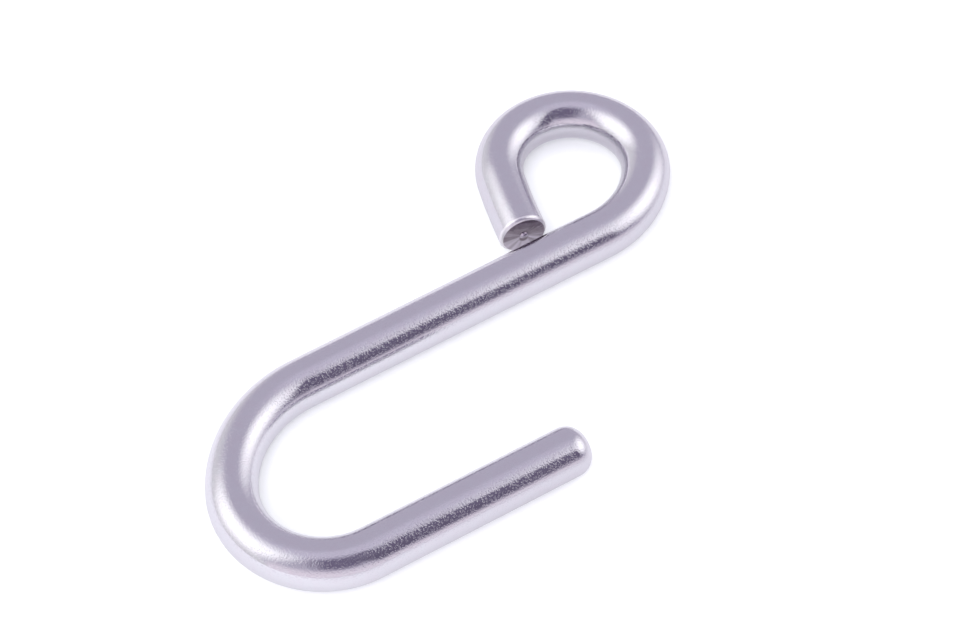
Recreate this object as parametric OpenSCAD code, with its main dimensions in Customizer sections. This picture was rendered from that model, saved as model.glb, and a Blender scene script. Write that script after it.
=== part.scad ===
// S hook bent from one round stainless steel bar, lying flat.
// A straight shank runs along X. Its low X end curls into the open hook and its short leg.
// Its high X end curls the other way into a closed eye, whose cut end stops beside the shank.
// The origin is under the middle of the hook's box, on the surface it lies on. +Z is up.

/* [Bar] */
// Diameter of the round bar
bar_d = 6; // [3:0.5:8]

/* [Shank] */
// Length of the straight shank between its two bends
shank_l = 41.2; // [25:0.2:120]

/* [Hook] */
// Centreline radius of the wide first part of the hook's bend
hook_entry_r = 15.2; // [11:0.1:25]
// Angle turned on that first radius
hook_entry_angle = 66; // [20:0.5:80]
// Centreline radius of the rest of the hook's bend
hook_r = 10.4; // [7:0.1:20]
// Angle at which the leg opens away from the shank
leg_splay = 1; // [0:0.25:5]
// Straight length of the leg, with its rounded tip
leg_l = 27.6; // [10:0.2:60]
// Radius that rounds the leg's tip
tip_round = 2.3; // [0.5:0.1:3]

/* [Eye] */
// Centreline radius of the wide first part of the eye's bend
eye_entry_r = 12.8; // [10:0.1:20]
// Angle turned on that first radius
eye_entry_angle = 52; // [20:0.5:70]
// Centreline radius of the round part of the eye
eye_r = 9; // [7.5:0.1:15]
// Angle turned from the shank to the end of the round part
eye_turn = 252.5; // [235:0.5:258]
// Centreline radius of the slack last stretch, which closes the eye
close_r = 83; // [40:1:200]
// Gap left between the cut end and the shank
eye_gap = 1.3; // [0.2:0.05:2]

/* [Cut end] */
// Chamfer round the rim of the cut end
end_chamfer = 0.35; // [0.1:0.05:0.8]
// Diameter of the pip that the cut leaves at the bar's centre
pip_d = 0.8; // [0.3:0.1:1.2]
// Height of the pip
pip_h = 0.25; // [0.05:0.05:0.5]

/* [Hidden] */
$fn = 96;

bar_r = bar_d / 2;
tip_r = min(tip_round, bar_r);

// A bend's start and turn are whole hundredths of a degree, so that each ends where the next begins
function hundredths(angle) = round(angle * 100) / 100;

// Hook's bend, from the shank's low X end at [0, 0]
hook_entry_turn = hundredths(hook_entry_angle);
splay = hundredths(leg_splay);
hook_step = hook_entry_r - hook_r;
hook_centre = [
    -hook_step * sin(hook_entry_turn),
    hook_step * cos(hook_entry_turn) - hook_entry_r
];
leg_start = hook_centre - hook_r * [sin(splay), cos(splay)];

// Eye's bend, on the other side of the shank
eye_entry_turn = hundredths(eye_entry_angle);
round_turn = hundredths(eye_turn);
eye_step = eye_entry_r - eye_r;
eye_centre = [
    shank_l + eye_step * sin(eye_entry_turn),
    eye_entry_r - eye_step * cos(eye_entry_turn)
];

// The last stretch turns until the flat of the cut end is eye_gap from the shank
face_r = bar_r - end_chamfer;
close_centre = eye_centre - (close_r - eye_r) * [sin(round_turn), -cos(round_turn)];
end_turn = 360 - acos((close_centre.y - bar_r - eye_gap) / (close_r - face_r));
end_centre = close_centre + close_r * [sin(end_turn), -cos(end_turn)];

// Box of the whole hook in plan
low_x = hook_centre.x - hook_r - bar_r;
high_x = eye_centre.x + eye_r + bar_r;
low_y = leg_start.y - (leg_l - tip_r) * sin(splay) - (bar_r - tip_r) * cos(splay) - tip_r;
high_y = eye_centre.y + eye_r + bar_r;
middle = [(low_x + high_x) / 2, (low_y + high_y) / 2];

// Moves in two steps, a round number and its remainder, so that stretches of bar meet exactly
module place(point) {
    round_part = [for (v = point) round(v * 100) / 100];
    translate(round_part)
        translate(point - round_part)
            children();
}

// Arc of bar about the origin, anticlockwise from start
module bent_bar(radius, start, turn) {
    rotate_extrude(angle = turn, start = start)
        translate([radius, 0])
            circle(r = bar_r);
}

module shank() {
    rotate([0, 90, 0])
        cylinder(h = shank_l, r = bar_r);
}

module hook_bend() {
    translate([0, -hook_entry_r])
        bent_bar(hook_entry_r, 90, hook_entry_turn);
    place(hook_centre)
        bent_bar(hook_r, 90 + hook_entry_turn, 180 - splay - hook_entry_turn);
}

// Straight round leg, with a tip that is flat only at its middle
module leg() {
    place(leg_start)
        rotate([0, 0, -splay])
            rotate([0, 90, 0])
                rotate_extrude() {
                    square([bar_r, leg_l - tip_r]);
                    square([bar_r - tip_r, leg_l]);
                    intersection() {
                        translate([bar_r - tip_r, leg_l - tip_r])
                            circle(r = tip_r);
                        square([bar_r, leg_l]);
                    }
                }
}

module eye_bend() {
    translate([shank_l, eye_entry_r])
        bent_bar(eye_entry_r, -90, eye_entry_turn);
    place(eye_centre)
        bent_bar(eye_r, eye_entry_turn - 90, round_turn - eye_entry_turn);
}

// Slack stretch that closes the eye
module closing_stretch() {
    place(close_centre)
        bent_bar(close_r, round_turn - 90, end_turn - round_turn);
}

// Ring that chamfers the cut end's rim, round +X with the end's face at the origin
module rim_cutter() {
    over = 0.5;
    rotate([0, 90, 0])
        rotate_extrude()
            polygon([
                [face_r - over, over],
                [bar_r + over, -end_chamfer - over],
                [bar_r + over, over]
            ]);
}

module pip() {
    rotate([0, 90, 0])
        cylinder(h = 2 * pip_h, d = pip_d, center = true);
}

module hook() {
    color([0.72, 0.71, 0.76])
        translate([-middle.x, -middle.y, bar_r]) {
            difference() {
                union() {
                    shank();
                    hook_bend();
                    leg();
                    eye_bend();
                    closing_stretch();
                }
                translate(end_centre)
                    rotate([0, 0, end_turn])
                        rim_cutter();
            }
            translate(end_centre)
                rotate([0, 0, end_turn])
                    pip();
        }
}

hook();
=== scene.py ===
import math
from math import radians

import bpy
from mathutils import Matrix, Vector


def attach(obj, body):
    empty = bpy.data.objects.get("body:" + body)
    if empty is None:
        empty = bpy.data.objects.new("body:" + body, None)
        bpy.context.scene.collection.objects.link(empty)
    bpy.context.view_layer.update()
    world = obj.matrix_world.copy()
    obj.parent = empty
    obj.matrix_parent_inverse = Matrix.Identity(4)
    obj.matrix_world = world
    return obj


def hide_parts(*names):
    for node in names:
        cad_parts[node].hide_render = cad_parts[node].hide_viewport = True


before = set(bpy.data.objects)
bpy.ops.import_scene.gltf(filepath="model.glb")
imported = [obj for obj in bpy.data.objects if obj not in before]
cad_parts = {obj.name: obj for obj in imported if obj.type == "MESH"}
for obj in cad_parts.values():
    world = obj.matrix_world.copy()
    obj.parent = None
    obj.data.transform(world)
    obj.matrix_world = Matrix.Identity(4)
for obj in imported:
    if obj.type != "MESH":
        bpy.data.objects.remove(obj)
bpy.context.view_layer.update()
mm = 0.001
print("frame loaded")


def link(tree, source, target):
    tree.links.new(source, target)


def feed(tree, socket, value):  # a socket takes another socket or a plain value
    if isinstance(value, bpy.types.NodeSocket):
        tree.links.new(value, socket)
    else:
        socket.default_value = value


def mathNode(tree, operation, first, second=0.0, third=None):
    node = tree.nodes.new("ShaderNodeMath")
    node.operation = operation
    feed(tree, node.inputs[0], first)
    feed(tree, node.inputs[1], second)
    if third is not None:
        feed(tree, node.inputs[2], third)
    return node.outputs[0]


def rangeNode(tree, value, fromLow, fromHigh, toLow=0.0, toHigh=1.0, kind="LINEAR"):
    node = tree.nodes.new("ShaderNodeMapRange")
    node.interpolation_type = kind
    feed(tree, node.inputs["Value"], value)
    feed(tree, node.inputs["From Min"], fromLow)
    feed(tree, node.inputs["From Max"], fromHigh)
    feed(tree, node.inputs["To Min"], toLow)
    feed(tree, node.inputs["To Max"], toHigh)
    return node.outputs["Result"]


def noiseNode(tree, vector, scale, detail=2.0, roughness=0.5):
    node = tree.nodes.new("ShaderNodeTexNoise")
    feed(tree, node.inputs["Vector"], vector)
    feed(tree, node.inputs["Scale"], scale)
    node.inputs["Detail"].default_value = detail
    node.inputs["Roughness"].default_value = roughness
    return node.outputs["Fac"]


def vectorNode(tree, operation, first, second=None):
    node = tree.nodes.new("ShaderNodeVectorMath")
    node.operation = operation
    feed(tree, node.inputs[0], first)
    if second is not None:
        feed(tree, node.inputs["Scale"] if operation == "SCALE" else node.inputs[1], second)
    return node.outputs["Value"] if operation in ("LENGTH", "DOT_PRODUCT") else node.outputs["Vector"]


def dotNode(tree, first, second):
    return vectorNode(tree, "DOT_PRODUCT", first, second)


def newGroup(name, kind, ins, outs):
    group = bpy.data.node_groups.new(name, kind)
    for label, socketType in ins:
        group.interface.new_socket(label, in_out="INPUT", socket_type=socketType)
    for label, socketType in outs:
        group.interface.new_socket(label, in_out="OUTPUT", socket_type=socketType)
    return group, group.nodes.new("NodeGroupInput"), group.nodes.new("NodeGroupOutput")


def setValues(node, values):
    for name, value in values.items():
        node.inputs[name].default_value = value


def emptyTree(owner):  # the nodes of a material or world, with its starting ones taken out
    owner.use_nodes = True
    for node in list(owner.node_tree.nodes):
        owner.node_tree.nodes.remove(node)
    return owner.node_tree


def addObject(name, data):
    thing = bpy.data.objects.new(name, data)
    bpy.context.scene.collection.objects.link(thing)
    return thing


camera = {
    "turn": -32.16,  # degrees round the hook, from straight in front
    "lift": 53.13,
    "distance": 272.6 * mm,
    "aim": (3.01 * mm, -0.83 * mm, 3.0 * mm),
    "lens": 87.4,
}


def fromAngles(turn, lift):  # a direction, turned clockwise from +Y and lifted from level
    turn, lift = radians(turn), radians(lift)
    return Vector((math.sin(turn) * math.cos(lift), math.cos(turn) * math.cos(lift), math.sin(lift)))


def makeCamera(made):
    data = bpy.data.cameras.new("camera")
    data.sensor_width = 36.0
    data.lens = made["lens"]
    data.clip_start = 0.01
    data.clip_end = 100.0
    thing = addObject("camera", data)
    back = fromAngles(180.0 - made["turn"], made["lift"])
    thing.location = Vector(made["aim"]) + back * made["distance"]
    thing.rotation_euler = (-back).to_track_quat("-Z", "Y").to_euler()
    bpy.context.scene.camera = thing


makeCamera(camera)
print("camera placed")


bar = {  # millimetres and degrees, the path and the thickness as in the solid model
    "diameter": 6.0,
    "shankLength": 41.2,
    "hookEntryRadius": 15.2,  # each bend starts wide, then tightens
    "hookEntryTurn": 66.0,
    "hookRadius": 10.4,
    "legSplay": 1.0,
    "legLength": 27.6,
    "tipRound": 2.3,
    "eyeEntryRadius": 12.8,
    "eyeEntryTurn": 52.0,
    "eyeRadius": 9.0,
    "eyeTurn": 252.5,
    "closeRadius": 83.0,  # the slack last stretch, which closes the eye
    "eyeGap": 1.3,  # left between the cut end and the shank
    "endChamfer": 0.35,
    "pipDiameter": 1.1,  # the pip is a little fuller than the solid model's
    "pipHeight": 0.32,
    "bevelLength": 0.5,  # the deburred edge runs this far back along the bar
    "bevelTurn": 62.0,  # and rolls over this far before it meets the face
    "faceDepth": 0.01,  # the cut face stands out this much in its middle
    "creaseTurn": 24.0,  # edges bent more than this stay sharp
    "weld": 0.002,  # closes the tip and the pip at their middles
    "guideStep": 0.1,
    "rings": 640,  # along the whole bar, its ends included
    "sides": 120,
    "tipRings": 16,
    "endRings": 6,
    "faceRings": 12,
    "pipRings": 8,
}

dents = [  # place in the hook's own frame, half sizes and depth, all in millimetres
    {"name": "eyeSideNick", "place": (22.0, -0.7, 2.6), "size": (0.75, 0.5, 0.55), "depth": 0.06},
    {"name": "hookInnerNick", "place": (-20.9, -0.8, 3.3), "size": (0.45, 0.5, 0.8), "depth": 0.05},
    {"name": "eyeInnerNick", "place": (31.0, 12.4, 2.9), "size": (0.6, 0.45, 1.1), "depth": 0.07},
    {"name": "eyeInnerScuff", "place": (30.2, 14.6, 2.6), "size": (0.7, 0.6, 0.8), "depth": 0.05},
    {"name": "bendNick", "place": (-30.6, -20.6, 5.2), "size": (0.6, 0.5, 0.6), "depth": 0.035},
]


def onArc(centre, radius, angle):
    return Vector((centre.x + radius * math.cos(angle), centre.y + radius * math.sin(angle)))


def guidePoints(size):  # the bar's centre line from the leg's tip to the eye's cut end
    barRadius = size["diameter"] / 2
    splay = radians(size["legSplay"])
    entryTurn = radians(size["hookEntryTurn"])
    eyeIn = radians(size["eyeEntryTurn"])
    roundTurn = radians(size["eyeTurn"])
    hookStep = size["hookEntryRadius"] - size["hookRadius"]
    hookCentre = Vector((-hookStep * math.sin(entryTurn),
                         hookStep * math.cos(entryTurn) - size["hookEntryRadius"]))
    legStart = hookCentre - size["hookRadius"] * Vector((math.sin(splay), math.cos(splay)))
    legEnd = legStart + size["legLength"] * Vector((math.cos(splay), -math.sin(splay)))
    eyeStep = size["eyeEntryRadius"] - size["eyeRadius"]
    eyeCentre = Vector((size["shankLength"] + eyeStep * math.sin(eyeIn),
                        size["eyeEntryRadius"] - eyeStep * math.cos(eyeIn)))
    closeStep = size["closeRadius"] - size["eyeRadius"]
    closeCentre = eyeCentre - closeStep * Vector((math.sin(roundTurn), -math.cos(roundTurn)))
    faceRadius = barRadius - size["endChamfer"]
    reach = (closeCentre.y - barRadius - size["eyeGap"]) / (size["closeRadius"] - faceRadius)
    endTurn = 2 * math.pi - math.acos(reach)
    tip = size["tipRound"]
    lowX = hookCentre.x - size["hookRadius"] - barRadius
    highX = eyeCentre.x + size["eyeRadius"] + barRadius
    tipY = legStart.y - (size["legLength"] - tip) * math.sin(splay)
    lowY = tipY - (barRadius - tip) * math.cos(splay) - tip
    highY = eyeCentre.y + size["eyeRadius"] + barRadius
    middle = Vector(((lowX + highX) / 2, (lowY + highY) / 2))
    quarter = math.pi / 2
    hookEntryCentre = Vector((0.0, -size["hookEntryRadius"]))
    eyeEntryCentre = Vector((size["shankLength"], size["eyeEntryRadius"]))
    stretches = [
        ("line", legEnd, legStart),
        ("arc", hookCentre, size["hookRadius"], 3 * quarter - splay, quarter + entryTurn),
        ("arc", hookEntryCentre, size["hookEntryRadius"], quarter + entryTurn, quarter),
        ("line", Vector((0.0, 0.0)), Vector((size["shankLength"], 0.0))),
        ("arc", eyeEntryCentre, size["eyeEntryRadius"], -quarter, eyeIn - quarter),
        ("arc", eyeCentre, size["eyeRadius"], eyeIn - quarter, roundTurn - quarter),
        ("arc", closeCentre, size["closeRadius"], roundTurn - quarter, endTurn - quarter),
    ]
    points = []
    for stretch in stretches:
        if stretch[0] == "line":
            length = (stretch[2] - stretch[1]).length
            count = max(2, round(length / size["guideStep"]))
            points += [stretch[1].lerp(stretch[2], i / count) for i in range(count)]
        else:
            centre, radius, start, end = stretch[1:]
            count = max(2, round(abs(end - start) * radius / size["guideStep"]))
            points += [onArc(centre, radius, start + (end - start) * i / count) for i in range(count)]
    points.append(onArc(closeCentre, size["closeRadius"], endTurn - quarter))
    heading = (points[-1] - points[-2]).normalized()
    points.append(points[-1] + heading * size["pipHeight"])  # the pip stands out past the cut

    def placeIt(flat):  # from the drawing plane to the hook's own frame, in metres
        return Vector((flat.x - middle.x, flat.y - middle.y, barRadius)) * mm

    bends = [(placeIt(hookCentre), size["hookRadius"] * mm), (placeIt(eyeCentre), size["eyeRadius"] * mm)]
    return [placeIt(point) for point in points], heading, bends


def guideCurve(points):
    data = bpy.data.curves.new("barGuide", "CURVE")
    data.dimensions = "3D"
    spline = data.splines.new("POLY")
    spline.points.add(len(points) - 1)
    for point, place in zip(spline.points, points):
        point.co = (place.x, place.y, place.z, 1.0)
    return addObject("barGuide", data)


def dentTree():  # presses a soft oval hollow into the surface
    ins = [("Mesh", "NodeSocketGeometry"), ("Place", "NodeSocketVector"), ("Size", "NodeSocketVector"),
           ("Depth", "NodeSocketFloat")]
    group, given, result = newGroup("dent", "GeometryNodeTree", ins, [("Mesh", "NodeSocketGeometry")])
    here = group.nodes.new("GeometryNodeInputPosition").outputs[0]
    away = vectorNode(group, "SUBTRACT", here, given.outputs["Place"])
    share = vectorNode(group, "DIVIDE", away, given.outputs["Size"])
    far = vectorNode(group, "LENGTH", share)
    press = rangeNode(group, far, 0.0, 1.0, 1.0, 0.0, "SMOOTHSTEP")
    amount = mathNode(group, "MULTIPLY", mathNode(group, "MULTIPLY", press, given.outputs["Depth"]), -1.0)
    outward = group.nodes.new("GeometryNodeInputNormal").outputs[0]
    shift = vectorNode(group, "SCALE", outward, amount)
    move = group.nodes.new("GeometryNodeSetPosition")
    link(group, given.outputs["Mesh"], move.inputs["Geometry"])
    link(group, shift, move.inputs["Offset"])
    link(group, move.outputs[0], result.inputs["Mesh"])
    return group


def sweepTree(bodyPaint, edgePaint, facePaint):  # a round bar swept along a guide, with its ends turned
    floats = ("Bar Radius", "Tip Round", "End Chamfer", "Bevel Length", "Bevel Turn", "Face Depth",
              "Pip Radius", "Pip Height", "Weld", "Crease Turn")
    counts = ("Rings", "Sides", "Tip Rings", "End Rings", "Face Rings", "Pip Rings")
    ins = [("Guide", "NodeSocketGeometry")]
    ins += [(name, "NodeSocketFloat") for name in floats]
    ins += [(name, "NodeSocketInt") for name in counts]
    group, given, result = newGroup("sweptBar", "GeometryNodeTree", ins, [("Bar", "NodeSocketGeometry")])
    out = given.outputs

    def add(kind, **settings):
        node = group.nodes.new(kind)
        for key, value in settings.items():
            setattr(node, key, value)
        return node

    def calc(operation, first, second=0.0):
        return mathNode(group, operation, first, second)

    def choose(test, yes, no):  # test is 0 or 1
        otherwise = calc("MULTIPLY", calc("SUBTRACT", 1.0, test), no)
        return calc("ADD", calc("MULTIPLY", test, yes), otherwise)

    def share(first, count):  # how far this ring is through a stretch of rings
        return calc("DIVIDE", calc("SUBTRACT", ring, first), count)

    def between(part, low, high):
        return calc("ADD", low, calc("MULTIPLY", part, calc("SUBTRACT", high, low)))

    length = add("GeometryNodeCurveLength")
    link(group, out["Guide"], length.inputs[0])
    total = length.outputs[0]
    index = add("GeometryNodeInputIndex").outputs[0]
    ring = calc("ADD", index, 0.0)  # the number of each ring of the sweep, from the leg's tip

    # where each ring stands and how wide it is: a quarter round tip, the even body,
    # then the rolled edge, the cut face and the pip
    tipPart = calc("DIVIDE", ring, out["Tip Rings"])
    tipAngle = calc("MULTIPLY", calc("MINIMUM", tipPart, 1.0), math.pi / 2)
    tipStation = calc("MULTIPLY", out["Tip Round"], calc("SUBTRACT", 1.0, calc("COSINE", tipAngle)))
    tipRadius = calc("ADD", calc("SUBTRACT", out["Bar Radius"], out["Tip Round"]),
                  calc("MULTIPLY", out["Tip Round"], calc("SINE", tipAngle)))
    lastRing = calc("SUBTRACT", out["Rings"], 1.0)
    pipStart = calc("SUBTRACT", lastRing, out["Pip Rings"])
    faceStart = calc("SUBTRACT", pipStart, out["Face Rings"])
    endStart = calc("SUBTRACT", faceStart, out["End Rings"])
    cut = calc("SUBTRACT", total, out["Pip Height"])  # station of the cut face
    endLength = calc("SUBTRACT", calc("SUBTRACT", cut, out["Bevel Length"]), out["Face Depth"])
    bodyPart = share(out["Tip Rings"], calc("SUBTRACT", endStart, out["Tip Rings"]))
    bodyStation = between(bodyPart, out["Tip Round"], endLength)
    endAngle = calc("MULTIPLY", share(endStart, out["End Rings"]), out["Bevel Turn"])
    endReach = calc("DIVIDE", calc("SINE", endAngle), calc("SINE", out["Bevel Turn"]))
    endDrop = calc("DIVIDE", calc("SUBTRACT", 1.0, calc("COSINE", endAngle)),
                   calc("SUBTRACT", 1.0, calc("COSINE", out["Bevel Turn"])))
    endStation = calc("ADD", endLength, calc("MULTIPLY", out["Bevel Length"], endReach))
    endRadius = calc("SUBTRACT", out["Bar Radius"], calc("MULTIPLY", out["End Chamfer"], endDrop))
    facePart = share(faceStart, out["Face Rings"])
    faceFoot = calc("SUBTRACT", cut, out["Face Depth"])
    faceStation = calc("ADD", faceFoot, calc("MULTIPLY", facePart, out["Face Depth"]))
    faceRim = calc("SUBTRACT", out["Bar Radius"], out["End Chamfer"])
    faceRadius = between(facePart, faceRim, out["Pip Radius"])
    pipAngle = calc("MULTIPLY", share(pipStart, out["Pip Rings"]), math.pi / 2)
    pipStation = calc("ADD", cut, calc("MULTIPLY", out["Pip Height"], calc("SINE", pipAngle)))
    pipRadius = calc("MULTIPLY", out["Pip Radius"], calc("COSINE", pipAngle))
    pipRadius = calc("MAXIMUM", pipRadius, 1e-6)  # never quite nothing, so that the weld finds it

    inTip = calc("LESS_THAN", ring, out["Tip Rings"])
    inPip = calc("GREATER_THAN", ring, pipStart)
    inFace = calc("GREATER_THAN", ring, faceStart)
    inEnd = calc("GREATER_THAN", ring, endStart)
    station = choose(inTip, tipStation, bodyStation)
    radius = choose(inTip, tipRadius, out["Bar Radius"])
    for test, there, thick in ((inEnd, endStation, endRadius), (inFace, faceStation, faceRadius),
                               (inPip, pipStation, pipRadius)):
        station = choose(test, there, station)
        radius = choose(test, thick, radius)

    # a straight run of rings, laid along the guide
    line = add("GeometryNodeCurvePrimitiveLine")
    line.inputs["End"].default_value = (1.0, 0.0, 0.0)
    spread = add("GeometryNodeResampleCurve")
    link(group, line.outputs[0], spread.inputs["Curve"])
    link(group, out["Rings"], spread.inputs["Count"])
    sample = add("GeometryNodeSampleCurve", mode="LENGTH", data_type="FLOAT")
    link(group, out["Guide"], sample.inputs["Curves"])
    link(group, station, sample.inputs["Length"])
    place = add("GeometryNodeSetPosition")
    link(group, spread.outputs[0], place.inputs["Geometry"])
    link(group, sample.outputs["Position"], place.inputs["Position"])
    upright = add("GeometryNodeSetCurveNormal", mode="Z_UP")
    link(group, place.outputs[0], upright.inputs[0])
    where = add("GeometryNodeCaptureAttribute", domain="POINT")  # each vertex keeps its ring
    where.capture_items.new("FLOAT", "Ring")
    link(group, upright.outputs[0], where.inputs["Geometry"])
    link(group, ring, where.inputs["Ring"])

    # the round section, as wide at each ring as worked out above
    section = add("GeometryNodeCurvePrimitiveCircle")
    section.inputs["Radius"].default_value = 1.0
    link(group, out["Sides"], section.inputs["Resolution"])
    sweep = add("GeometryNodeCurveToMesh")
    link(group, where.outputs["Geometry"], sweep.inputs["Curve"])
    link(group, section.outputs[0], sweep.inputs["Profile Curve"])
    link(group, radius, sweep.inputs["Scale"])
    sweep.inputs["Fill Caps"].default_value = True
    weld = add("GeometryNodeMergeByDistance")
    link(group, sweep.outputs[0], weld.inputs["Geometry"])
    link(group, out["Weld"], weld.inputs["Distance"])

    shape = weld.outputs[0]
    press = dentTree()
    for dent in dents:
        node = add("GeometryNodeGroup", node_tree=press, label=dent["name"])
        setValues(node, {
            "Place": [part * mm for part in dent["place"]],
            "Size": [part * mm for part in dent["size"]],
            "Depth": dent["depth"] * mm,
        })
        link(group, shape, node.inputs["Mesh"])
        shape = node.outputs["Mesh"]

    # smooth all over, but for the sharp turns at the cut
    smooth = add("GeometryNodeSetShadeSmooth", domain="FACE")
    link(group, shape, smooth.inputs["Geometry"])
    angle = add("GeometryNodeInputMeshEdgeAngle")
    gentle = calc("LESS_THAN", angle.outputs["Unsigned Angle"], out["Crease Turn"])
    crease = add("GeometryNodeSetShadeSmooth", domain="EDGE")
    link(group, smooth.outputs[0], crease.inputs["Geometry"])
    link(group, gentle, crease.inputs["Shade Smooth"])
    real = add("GeometryNodeRealizeInstances")
    link(group, crease.outputs[0], real.inputs["Geometry"])
    shape = real.outputs[0]
    ringHere = where.outputs["Ring"]  # a face reads the mean of its two rings
    for paint, first, last in ((bodyPaint, -1.0, endStart), (edgePaint, endStart, faceStart),
                               (facePaint, faceStart, out["Rings"])):
        node = add("GeometryNodeSetMaterial")
        node.inputs["Material"].default_value = paint
        link(group, shape, node.inputs["Geometry"])
        after = calc("GREATER_THAN", ringHere, calc("ADD", first, 0.25))
        before = calc("LESS_THAN", ringHere, last)
        link(group, calc("MULTIPLY", after, before), node.inputs["Selection"])
        shape = node.outputs[0]
    link(group, shape, result.inputs["Bar"])
    return group


def setInputs(modifier, values):  # by each socket's identifier
    for item in modifier.node_group.interface.items_tree:
        if item.item_type == "SOCKET" and item.in_out == "INPUT" and item.name in values:
            modifier[item.identifier] = values[item.name]


def plainMesh(source, name):  # the evaluated result as a mesh of its own
    bpy.context.view_layer.update()
    depsgraph = bpy.context.evaluated_depsgraph_get()
    mesh = bpy.data.meshes.new_from_object(source.evaluated_get(depsgraph), depsgraph=depsgraph)
    mesh.name = name
    thing = addObject(name, mesh)
    data = source.data
    source.modifiers.clear()
    bpy.data.objects.remove(source)
    bpy.data.curves.remove(data)
    return thing


grain = {
    "fineScale": 4200.0,  # per metre: the peel of the drawn and tumbled bar
    "fineDepth": 0.000004,
    "waveScale": 150.0,
    "waveDepth": 0.000035,
    "patchScale": 900.0,  # where the colour turns warmer and colder
    "bendScale": 1300.0,  # coarser where the bar was squeezed, inside its bends
    "bendDepth": 0.000022,
    "bendInner": 2.9 * mm,  # the squeezed skin lies this far in from the middle of the bar
    "bendOuter": 1.6 * mm,
    "speckScale": 4600.0,  # dull specks between the bright peaks
    "speckFrom": 0.515,
    "speckTo": 0.63,
    "speckDepth": 0.0000042,
}

steelLook = {
    "color": (0.70, 0.69, 0.74, 1.0),
    "warmColor": (0.70, 0.67, 0.725, 1.0),
    "roughness": 0.05,
    "speckRoughness": 0.24,
}

edgeLook = {  # the filed edge round the cut
    "color": (0.90, 0.87, 0.91, 1.0),
    "wornColor": (0.80, 0.77, 0.81, 1.0),
    "roughness": 0.30,
    "fineScale": 4200.0,
    "waveScale": 900.0,
    "waveShare": 0.6,
    "depth": 0.00002,
}

endLook = {  # the sheared face
    "color": (0.71, 0.64, 0.74, 1.0),
    # darkColor is the colour of the tear marks and of the painted shade and shadow
    "darkColor": (0.25, 0.20, 0.24, 1.0),
    "roughness": 0.10,
    "fineScale": 2600.0,
    "waveScale": 700.0,
    "waveShare": 1.0,
    "tearScale": 2.2,  # of the noise that breaks the tear marks and the painted shade into rays
    "tearShare": 3.4,
    "paintedShadeUp": 0.85,  # painted shade: the face darker on its upper half
    "paintedShadeAcross": 0.3,
    "tearsAndShadeFrom": -0.95,
    "tearsAndShadeTo": 0.35,
    "pipFrom": 0.45 * mm,  # the pip is kept clear of the tear marks and the painted shade
    "pipTo": 0.60 * mm,
    "shadeDrop": 0.45 * mm,  # painted shadow, centred this far under the middle of the pip
    "shadeFrom": 0.40 * mm,
    "shadeTo": 0.75 * mm,
    "shadeLevel": 1.15,
    "ridgeScale": 4.0,
    "ridgeDepth": 0.00002,
    "peelShare": 0.3,
}


def grainGroup():  # shared: fine peel, slow waves and the colour patches, read by every finish
    ins = [(name, "NodeSocketFloat") for name in ("Fine Scale", "Wave Scale", "Wave Share")]
    outs = [(name, "NodeSocketFloat") for name in ("Height", "Patches", "Specks")]
    group, given, result = newGroup("metalGrain", "ShaderNodeTree", ins, outs)
    place = group.nodes.new("ShaderNodeTexCoord").outputs["Object"]
    fine = noiseNode(group, place, given.outputs["Fine Scale"], 1.0, 0.5)
    wave = noiseNode(group, place, given.outputs["Wave Scale"], 1.0, 0.4)
    waveHeight = mathNode(group, "MULTIPLY", wave, given.outputs["Wave Share"])
    link(group, mathNode(group, "ADD", fine, waveHeight), result.inputs["Height"])
    patches = noiseNode(group, place, grain["patchScale"], 3.0, 0.6)
    link(group, rangeNode(group, patches, 0.3, 0.7), result.inputs["Patches"])
    specks = noiseNode(group, place, grain["speckScale"], 0.0, 0.5)
    specks = rangeNode(group, specks, grain["speckFrom"], grain["speckTo"], kind="SMOOTHSTEP")
    link(group, specks, result.inputs["Specks"])
    return group


grainTree = grainGroup()


def newMaterial(name):
    material = bpy.data.materials.new(name)
    tree = emptyTree(material)
    surface = tree.nodes.new("ShaderNodeBsdfPrincipled")
    surface.inputs["Metallic"].default_value = 1.0
    output = tree.nodes.new("ShaderNodeOutputMaterial")
    link(tree, surface.outputs[0], output.inputs["Surface"])
    return material, tree, surface


def placeGrain(tree, fineScale, waveScale, waveShare):
    node = tree.nodes.new("ShaderNodeGroup")
    node.node_tree = grainTree
    setValues(node, {"Fine Scale": fineScale, "Wave Scale": waveScale, "Wave Share": waveShare})
    return node


def mixColor(tree, factor, first, second):
    node = tree.nodes.new("ShaderNodeMixRGB")
    feed(tree, node.inputs["Fac"], factor)
    feed(tree, node.inputs["Color1"], first)
    feed(tree, node.inputs["Color2"], second)
    return node.outputs[0]


def bumpNode(tree, height, depth):
    node = tree.nodes.new("ShaderNodeBump")
    node.inputs["Distance"].default_value = depth
    link(tree, height, node.inputs["Height"])
    return node.outputs[0]


def squeezed(tree, centre, inner, outer):  # 1 on the inside of a bend round this upright axis
    place = tree.nodes.new("ShaderNodeTexCoord").outputs["Object"]
    level = vectorNode(tree, "MULTIPLY", vectorNode(tree, "SUBTRACT", place, centre), (1.0, 1.0, 0.0))
    return rangeNode(tree, vectorNode(tree, "LENGTH", level), inner, outer, 1.0, 0.0, "SMOOTHSTEP")


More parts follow.
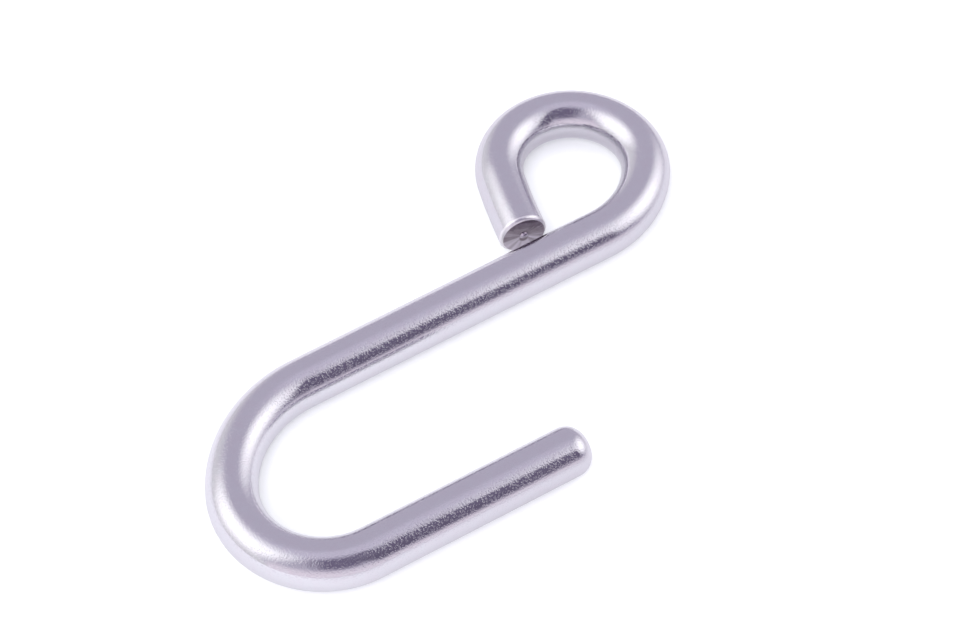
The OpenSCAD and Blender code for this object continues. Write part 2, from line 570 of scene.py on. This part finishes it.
def steelMaterial(bends):
    material, tree, surface = newMaterial("tumbledSteel")
    node = placeGrain(tree, grain["fineScale"], grain["waveScale"], grain["waveDepth"] / grain["fineDepth"])
    color = mixColor(tree, node.outputs["Patches"], steelLook["color"], steelLook["warmColor"])
    link(tree, color, surface.inputs["Base Color"])
    specks = node.outputs["Specks"]
    rough = rangeNode(tree, specks, 0.0, 1.0, steelLook["roughness"], steelLook["speckRoughness"])
    link(tree, rough, surface.inputs["Roughness"])
    place = tree.nodes.new("ShaderNodeTexCoord").outputs["Object"]
    wrinkle = noiseNode(tree, place, grain["bendScale"], 2.0, 0.55)
    speckShare = -grain["speckDepth"] / grain["fineDepth"]
    height = mathNode(tree, "MULTIPLY_ADD", specks, speckShare, node.outputs["Height"])
    for centre, radius in bends:
        mask = squeezed(tree, centre, radius - grain["bendInner"], radius - grain["bendOuter"])
        share = mathNode(tree, "MULTIPLY", mask, grain["bendDepth"] / grain["fineDepth"])
        height = mathNode(tree, "MULTIPLY_ADD", wrinkle, share, height)
    link(tree, bumpNode(tree, height, grain["fineDepth"]), surface.inputs["Normal"])
    return material


def edgeMaterial():
    material, tree, surface = newMaterial("filedEdge")
    node = placeGrain(tree, edgeLook["fineScale"], edgeLook["waveScale"], edgeLook["waveShare"])
    color = mixColor(tree, node.outputs["Patches"], edgeLook["color"], edgeLook["wornColor"])
    link(tree, color, surface.inputs["Base Color"])
    surface.inputs["Roughness"].default_value = edgeLook["roughness"]
    link(tree, bumpNode(tree, node.outputs["Height"], edgeLook["depth"]), surface.inputs["Normal"])
    return material


def cutMaterial(centre, heading):  # tear marks run out from the middle of the sheared face; painted shade darkens its upper half and a painted shadow lies under the pip
    material, tree, surface = newMaterial("shearedEnd")
    node = placeGrain(tree, endLook["fineScale"], endLook["waveScale"], endLook["waveShare"])
    place = tree.nodes.new("ShaderNodeTexCoord").outputs["Object"]
    fromMiddle = vectorNode(tree, "SUBTRACT", place, centre)
    away = vectorNode(tree, "NORMALIZE", fromMiddle)
    side = Vector((-heading.y, heading.x, 0.0))
    tears = noiseNode(tree, away, endLook["tearScale"], 2.0, 0.6)
    # painted shade: darker towards the top of the face
    upperShade = dotNode(tree, away, Vector((0.0, 0.0, endLook["paintedShadeUp"])) + side * endLook["paintedShadeAcross"])
    tearsAndShade = mathNode(tree, "SUBTRACT", tears, 0.5)
    tearsAndShade = mathNode(tree, "MULTIPLY_ADD", tearsAndShade, endLook["tearShare"], upperShade)
    tearsAndShade = rangeNode(tree, tearsAndShade, endLook["tearsAndShadeFrom"], endLook["tearsAndShadeTo"], kind="SMOOTHSTEP")
    offPip = rangeNode(tree, vectorNode(tree, "LENGTH", fromMiddle), endLook["pipFrom"], endLook["pipTo"])
    tearsAndShade = mathNode(tree, "MULTIPLY", tearsAndShade, offPip)
    # painted shadow under the pip
    pipShadowMiddle = centre - Vector((0.0, 0.0, endLook["shadeDrop"]))
    fromPipShadow = vectorNode(tree, "LENGTH", vectorNode(tree, "SUBTRACT", place, pipShadowMiddle))
    shade = rangeNode(tree, fromPipShadow, endLook["shadeFrom"], endLook["shadeTo"],
                      endLook["shadeLevel"], 0.0, "SMOOTHSTEP")
    tearsAndShade = mathNode(tree, "MAXIMUM", tearsAndShade, shade)
    uneven = rangeNode(tree, node.outputs["Patches"], 0.0, 1.0, 0.8, 1.0)
    tearsAndShade = mathNode(tree, "MULTIPLY", tearsAndShade, uneven)
    color = mixColor(tree, tearsAndShade, endLook["color"], endLook["darkColor"])
    link(tree, color, surface.inputs["Base Color"])
    surface.inputs["Roughness"].default_value = endLook["roughness"]
    ridges = noiseNode(tree, away, endLook["ridgeScale"], 1.0, 0.5)
    height = mathNode(tree, "MULTIPLY_ADD", node.outputs["Height"], endLook["peelShare"], ridges)
    link(tree, bumpNode(tree, height, endLook["ridgeDepth"]), surface.inputs["Normal"])
    return material


def makeBar(size):
    points, heading, bends = guidePoints(size)
    guide = guideCurve(points)
    tree = sweepTree(steelMaterial(bends), edgeMaterial(), cutMaterial(points[-2], heading))
    modifier = guide.modifiers.new("sweep", "NODES")
    modifier.node_group = tree
    setInputs(modifier, {
        "Bar Radius": size["diameter"] / 2 * mm,
        "Tip Round": size["tipRound"] * mm,
        "End Chamfer": size["endChamfer"] * mm,
        "Bevel Length": size["bevelLength"] * mm,
        "Bevel Turn": radians(size["bevelTurn"]),
        "Face Depth": size["faceDepth"] * mm,
        "Pip Radius": size["pipDiameter"] / 2 * mm,
        "Pip Height": size["pipHeight"] * mm,
        "Weld": size["weld"] * mm,
        "Crease Turn": radians(size["creaseTurn"]),
        "Rings": size["rings"],
        "Sides": size["sides"],
        "Tip Rings": size["tipRings"],
        "End Rings": size["endRings"],
        "Face Rings": size["faceRings"],
        "Pip Rings": size["pipRings"],
    })
    return plainMesh(guide, "hook_bar")


hookBar = makeBar(bar)
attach(hookBar, "root")
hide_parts("hook")
print("bar swept:", len(hookBar.data.vertices), "vertices")


floorLook = {
    "size": 12.0,
    "color": (0.88, 0.90, 0.87, 1.0),
    "paintedShadeSides": [  # painted shade, seen only by the steel: the paper dimmer behind the shank, and out to the front right
        {"turn": -20.0, "from": 0.004, "to": 0.028, "color": (0.79, 0.79, 0.78, 1.0)},
        {"turn": 114.0, "from": 0.004, "to": 0.062, "color": (0.60, 0.59, 0.60, 1.0)},
    ],
    "cameraGlow": 0.215,  # on top of the lit paper, so that it comes out white
    "openGlow": 0.17,  # and this much more away from the bar's foot, so the paper has painted shade round the foot
    "footReach": 0.002,
    "glowColor": (0.93, 0.96, 1.0, 1.0),
    "steelGlow": 0.055,  # what the steel sees of it
    "steelOpenGlow": 0.14,  # and this much more where nothing stands near, so painted shade lies round the bar
    "steelReach": 0.014,
    "openFrom": 0.4,
    "openTo": 0.95,
    "steelFootGlow": 0.34,  # painted light: the paper glows this much more right under the bar
    "footFrom": 0.1,
    "footTo": 0.4,
}


def paperSide(tree, side):  # rises from 0 to 1 out to one side of the floor
    place = tree.nodes.new("ShaderNodeTexCoord").outputs["Object"]
    out = dotNode(tree, place, fromAngles(side["turn"] - camera["turn"], 0.0))
    return rangeNode(tree, out, side["from"], side["to"])


def openness(tree, reach):  # 1 on open paper, less where the bar stands near
    node = tree.nodes.new("ShaderNodeAmbientOcclusion")
    node.samples = 8
    node.inputs["Distance"].default_value = reach
    return node.outputs["AO"]


def floorMaterial():
    material = bpy.data.materials.new("whitePaper")
    tree = emptyTree(material)
    path = tree.nodes.new("ShaderNodeLightPath")
    mirrored = mathNode(tree, "MAXIMUM", path.outputs["Is Glossy Ray"], path.outputs["Is Transmission Ray"])
    color = floorLook["color"]
    # painted shade on the paper, for mirrored rays only
    for side in floorLook["paintedShadeSides"]:
        dim = mathNode(tree, "MULTIPLY", mirrored, paperSide(tree, side))
        color = mixColor(tree, dim, color, side["color"])
    paper = tree.nodes.new("ShaderNodeBsdfDiffuse")
    link(tree, color, paper.inputs["Color"])
    # what the camera sees
    foot = openness(tree, floorLook["footReach"])
    openPaper = mathNode(tree, "MULTIPLY_ADD", foot, floorLook["openGlow"], floorLook["cameraGlow"])
    forCamera = mathNode(tree, "MULTIPLY", path.outputs["Is Camera Ray"], openPaper)
    # what the steel mirrors: painted shade round the bar and painted light under it
    near = openness(tree, floorLook["steelReach"])
    forSteel = rangeNode(tree, near, floorLook["openFrom"], floorLook["openTo"], floorLook["steelGlow"],
                         floorLook["steelGlow"] + floorLook["steelOpenGlow"])
    under = rangeNode(tree, near, floorLook["footFrom"], floorLook["footTo"],
                      floorLook["steelFootGlow"], 0.0)
    forSteel = mathNode(tree, "ADD", forSteel, under)
    glow = tree.nodes.new("ShaderNodeEmission")
    glow.inputs["Color"].default_value = floorLook["glowColor"]
    link(tree, mathNode(tree, "MULTIPLY_ADD", mirrored, forSteel, forCamera), glow.inputs["Strength"])
    both = tree.nodes.new("ShaderNodeAddShader")
    link(tree, paper.outputs[0], both.inputs[0])
    link(tree, glow.outputs[0], both.inputs[1])
    output = tree.nodes.new("ShaderNodeOutputMaterial")
    link(tree, both.outputs[0], output.inputs["Surface"])
    return material


def makeFloor():
    half = floorLook["size"] / 2
    corners = [(-half, -half, 0), (half, -half, 0), (half, half, 0), (-half, half, 0)]
    mesh = bpy.data.meshes.new("floor")
    mesh.from_pydata(corners, [], [(0, 1, 2, 3)])
    mesh.materials.append(floorMaterial())
    return addObject("floor", mesh)


floor = makeFloor()
print("floor laid")


room = {
    "wall": 0.553,
    "ceiling": 0.675,
    "wallTop": 59.0,  # degrees up, where the wall starts to turn into the ceiling
    "ceilingFrom": 77.3,
    "tint": (1.027, 0.975, 1.165),
}

darkTint = (1.08, 0.93, 1.42)

panels = [  # turn is clockwise from straight behind the hook, as the camera sees it; later ones cover
    {"name": "tableFront", "turn": 166.6, "lift": -4.5, "roll": 13.5, "wide": 1.85, "high": 0.53,
     "edgeWide": 0.337, "edgeHigh": 0.38, "level": 0.92, "tint": (1.06, 0.976, 1.075)},
    {"name": "leftWall", "turn": -81.3, "lift": -9.2, "roll": 49.0, "wide": 1.245, "high": 1.296,
     "edgeWide": 0.795, "edgeHigh": 0.149, "level": 0.842, "tint": (1.0, 0.995, 1.03)},
    {"name": "softboxLeft", "turn": -94.4, "lift": 41.7, "roll": -18.8, "wide": 0.530, "high": 0.472,
     "edgeWide": 0.320, "edgeHigh": 0.397, "level": 1.62, "tint": (1.0, 1.0, 1.0)},
    {"name": "softboxRight", "turn": 77.5, "lift": 33.0, "roll": 43.7, "wide": 0.468, "high": 0.396,
     "edgeWide": 0.718, "edgeHigh": 0.370, "level": 1.78, "tint": (1.0, 1.0, 1.0)},
    {"name": "darkRoom", "turn": 163.9, "lift": 55.7, "roll": 9.6, "wide": 0.285, "high": 0.434,
     "edgeWide": 0.165, "edgeHigh": 0.225, "level": 0.185, "tint": darkTint},
    {"name": "darkCorner", "turn": 130.1, "lift": 35.2, "roll": -15.0, "wide": 0.190, "high": 0.424,
     "edgeWide": 0.090, "edgeHigh": 0.280, "level": 0.15, "tint": darkTint},
    {"name": "darkDoor", "turn": 125.6, "lift": 54.0, "roll": -2.0, "wide": 0.058, "high": 0.42,
     "edgeWide": 0.040, "edgeHigh": 0.20, "level": 0.17, "tint": darkTint},
    {"name": "darkShelf", "turn": 109.0, "lift": 14.5, "roll": -8.0, "wide": 0.10, "high": 0.045,
     "edgeWide": 0.090, "edgeHigh": 0.050, "level": 0.20, "tint": darkTint},
]

keyLamp = {  # lights the paper only
    "turn": 190.0,
    "lift": 52.0,
    "distance": 0.9,
    "size": 0.55,
    "level": 0.42,
    "color": (1.0, 0.97, 1.08),
}


def panelGroup():
    vectors = [(name, "NodeSocketVector") for name in ("Direction", "Facing", "Across", "Up")]
    floats = [(name, "NodeSocketFloat") for name in ("Wide", "High", "Edge Wide", "Edge High")]
    outs = [("Mask", "NodeSocketFloat")]
    group, given, result = newGroup("softPanel", "ShaderNodeTree", vectors + floats, outs)
    out = given.outputs
    grazing = 0.02  # past this a direction is beside or behind the panel
    ahead = dotNode(group, out["Direction"], out["Facing"])
    depth = mathNode(group, "MAXIMUM", ahead, grazing)

    def side(axis, half, edge):
        slide = mathNode(group, "DIVIDE", dotNode(group, out["Direction"], axis), depth)
        away = mathNode(group, "ABSOLUTE", slide)
        low = mathNode(group, "SUBTRACT", half, edge)
        high = mathNode(group, "ADD", half, edge)
        return rangeNode(group, away, low, high, 1.0, 0.0, "SMOOTHSTEP")

    across = side(out["Across"], out["Wide"], out["Edge Wide"])
    up = side(out["Up"], out["High"], out["Edge High"])
    front = mathNode(group, "GREATER_THAN", ahead, grazing)
    mask = mathNode(group, "MULTIPLY", front, mathNode(group, "MULTIPLY", across, up))
    link(group, mask, result.inputs["Mask"])
    return group


def panelAxes(panel):
    turn = panel["turn"] - camera["turn"]
    facing = fromAngles(turn, panel["lift"])
    level = fromAngles(turn + 90.0, 0.0)
    up = level.cross(facing)
    roll = radians(panel["roll"])
    across = level * math.cos(roll) + up * math.sin(roll)
    return facing, across, up * math.cos(roll) - level * math.sin(roll)


def tinted(level, tint):
    return tuple(level * part for part in tint) + (1.0,)


def makeStudio():
    world = bpy.data.worlds.new("studio")
    bpy.context.scene.world = world
    tree = emptyTree(world)
    direction = tree.nodes.new("ShaderNodeTexCoord").outputs["Generated"]
    split = tree.nodes.new("ShaderNodeSeparateXYZ")
    link(tree, direction, split.inputs[0])
    height = mathNode(tree, "ARCSINE", split.outputs["Z"])
    wallTop, ceilingFrom = radians(room["wallTop"]), radians(room["ceilingFrom"])
    overhead = rangeNode(tree, height, wallTop, ceilingFrom, kind="SMOOTHSTEP")
    wall, ceiling = tinted(room["wall"], room["tint"]), tinted(room["ceiling"], room["tint"])
    color = mixColor(tree, overhead, wall, ceiling)
    group = panelGroup()
    for panel in panels:
        node = tree.nodes.new("ShaderNodeGroup")
        node.node_tree = group
        node.label = panel["name"]
        link(tree, direction, node.inputs["Direction"])
        facing, across, up = panelAxes(panel)
        setValues(node, {
            "Facing": facing,
            "Across": across,
            "Up": up,
            "Wide": panel["wide"],
            "High": panel["high"],
            "Edge Wide": panel["edgeWide"],
            "Edge High": panel["edgeHigh"],
        })
        color = mixColor(tree, node.outputs["Mask"], color, tinted(panel["level"], panel["tint"]))
    light = tree.nodes.new("ShaderNodeBackground")
    link(tree, color, light.inputs["Color"])
    # the camera itself sees plain white behind the paper
    white = tree.nodes.new("ShaderNodeBackground")
    white.inputs["Color"].default_value = (1.0, 1.0, 1.0, 1.0)
    path = tree.nodes.new("ShaderNodeLightPath")
    seen = tree.nodes.new("ShaderNodeMixShader")
    link(tree, path.outputs["Is Camera Ray"], seen.inputs["Fac"])
    link(tree, light.outputs[0], seen.inputs[1])
    link(tree, white.outputs[0], seen.inputs[2])
    output = tree.nodes.new("ShaderNodeOutputWorld")
    link(tree, seen.outputs[0], output.inputs["Surface"])


def makeLamp(made):  # level 1 would light plain white paper to white, were it overhead
    data = bpy.data.lights.new("keyLamp", "AREA")
    data.shape = "DISK"
    data.size = made["size"]
    data.color = made["color"]
    data.energy = made["level"] * math.pi ** 2 * made["distance"] ** 2
    thing = addObject("keyLamp", data)
    toward = fromAngles(made["turn"] - camera["turn"], made["lift"])
    thing.location = toward * made["distance"]
    thing.rotation_euler = toward.to_track_quat("Z", "Y").to_euler()
    thing.visible_camera = False
    thing.visible_glossy = False


makeStudio()
makeLamp(keyLamp)
bpy.context.scene.view_settings.view_transform = "Standard"
print("studio lit")
